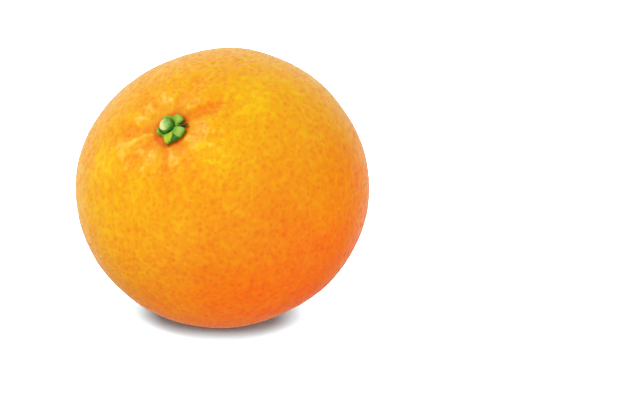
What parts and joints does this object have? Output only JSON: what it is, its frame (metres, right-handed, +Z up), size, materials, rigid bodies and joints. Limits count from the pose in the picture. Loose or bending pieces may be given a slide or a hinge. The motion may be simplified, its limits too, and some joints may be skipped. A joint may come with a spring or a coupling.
{
  "type": "whole mandarin",
  "caption": "Whole loose-skinned citrus fruit, slightly flattened at its ends, with a green calyx and cut stem stub, lying on a small flat of its peel.",
  "frame": {"origin": "middle of the fruit's outline seen from above, on the plane of the flat that it lies on", "axes": "+Z up, away from the surface it lies on; the core line leans 49.7 degrees from +Z towards -Y, with the stem end up; +X runs across the fruit, square to the core line"},
  "size_m": [0.0672, 0.0606, 0.0607],
  "materials": {
    "peel": "satin",
    "calyx": "satin",
    "stem": "matte"
  },
  "bodies": {
    "root": {"fruit": "peel", "calyx": "calyx", "stem_stub": "stem"}
  },
  "joints": []
}
